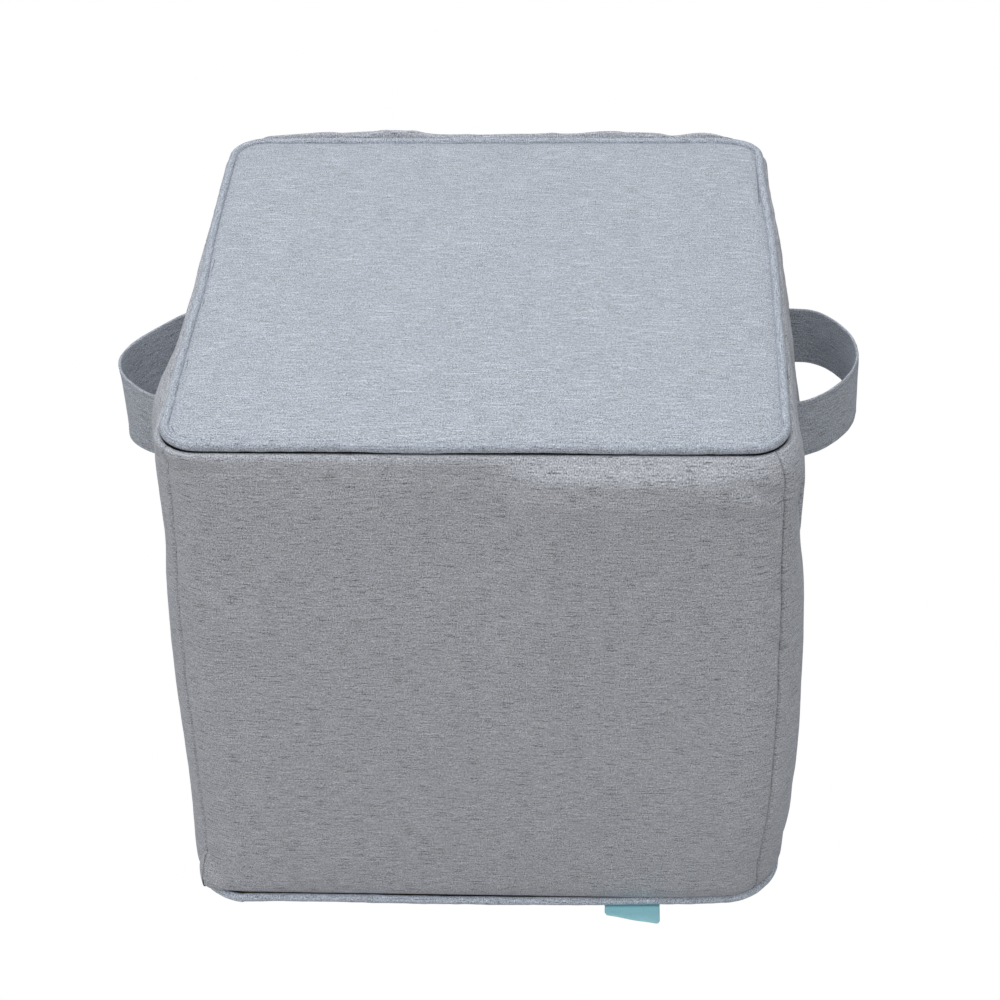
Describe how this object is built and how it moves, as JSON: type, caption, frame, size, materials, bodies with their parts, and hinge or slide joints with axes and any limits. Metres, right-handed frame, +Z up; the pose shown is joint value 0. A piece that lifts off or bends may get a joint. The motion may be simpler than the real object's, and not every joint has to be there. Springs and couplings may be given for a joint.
{
  "type": "soft storage bin with lid",
  "caption": "Soft cube-shaped storage bin in slubby grey cloth, with padded board-stiffened walls, piped edges, a padded zip-round lid and strap handles on two sides.",
  "frame": {"origin": "middle of the underside of the base, on the floor", "axes": "+Z up, -Y towards the front with the label, +X towards the right-hand handle as seen from the front"},
  "size_m": [0.554, 0.4717, 0.425],
  "materials": {
    "outer_cloth": "woven, slubby",
    "piping_cloth": "woven, slubby",
    "strap_cloth": "woven, slubby",
    "label_cloth": "smooth ribbon",
    "lining_cloth": "plain non-woven",
    "tape_cloth": "plain ribbon",
    "patch_cloth": "plain",
    "piping_cord": "twisted cord",
    "foam": "open foam",
    "board": "plain",
    "zip_teeth": "satin",
    "zip_metal": "satin"
  },
  "bodies": {
    "bin_body": {"front_panel": "outer_cloth", "back_panel": "outer_cloth", "left_front_strip": "outer_cloth", "left_centre_strip": "outer_cloth", "left_rear_strip": "outer_cloth", "right_front_strip": "outer_cloth", "right_centre_strip": "outer_cloth", "right_rear_strip": "outer_cloth", "base_panel": "outer_cloth", "base_piping": "piping_cloth", "base_piping_cord": "piping_cord", "seam_label": "label_cloth", "front_foam": "foam", "back_foam": "foam", "left_foam": "foam", "right_foam": "foam", "front_board": "board", "back_board": "board", "left_board": "board", "right_board": "board", "base_board": "board", "front_lining": "lining_cloth", "back_lining": "lining_cloth", "left_lining": "lining_cloth", "right_lining": "lining_cloth", "base_lining": "lining_cloth", "lower_zip_tape": "tape_cloth", "lower_zip_teeth": "zip_teeth", "zip_stops": "zip_metal", "hinge_tape": "tape_cloth", "left_handle_front_end": "strap_cloth", "left_handle_rear_end": "strap_cloth", "right_handle_front_end": "strap_cloth", "right_handle_rear_end": "strap_cloth", "left_handle_patches": "patch_cloth", "right_handle_patches": "patch_cloth"},
    "lid": {"lid_panel": "outer_cloth", "lid_piping": "piping_cloth", "lid_piping_cord": "piping_cord", "lid_foam": "foam", "lid_board": "board", "lid_lining": "lining_cloth", "upper_zip_tape": "tape_cloth", "upper_zip_teeth": "zip_teeth", "lid_hinge_tape": "tape_cloth"},
    "left_strap": {"left_handle": "strap_cloth"},
    "right_strap": {"right_handle": "strap_cloth"},
    "slider": {"zip_slider": "zip_metal"},
    "puller": {"zip_puller": "zip_metal"}
  },
  "joints": [
    {"name": "lid_hinge", "type": "hinge", "parent": "bin_body", "child": "lid", "pos_m": [0, 0.2145, 0.41872], "axis": [-1, 0, 0], "range_deg": [0, 110]},
    {"name": "left_handle_swing", "type": "hinge", "parent": "bin_body", "child": "left_strap", "pos_m": [-0.251, 0, 0.33], "axis": [0, -1, 0], "range_deg": [-70, 70], "stiffness_Nm_per_rad": 0.15},
    {"name": "right_handle_swing", "type": "hinge", "parent": "bin_body", "child": "right_strap", "pos_m": [0.251, 0, 0.33], "axis": [0, 1, 0], "range_deg": [-70, 70], "stiffness_Nm_per_rad": 0.15},
    {"name": "zip_slide", "type": "slide", "parent": "bin_body", "child": "slider", "axis": [0, -1, 0], "range_m": [0, 0.33]},
    {"name": "puller_swing", "type": "hinge", "parent": "slider", "child": "puller", "pos_m": [0.20685, 0.1615, 0.4145], "axis": [0, 0, -1], "range_deg": [0, 100]}
  ]
}
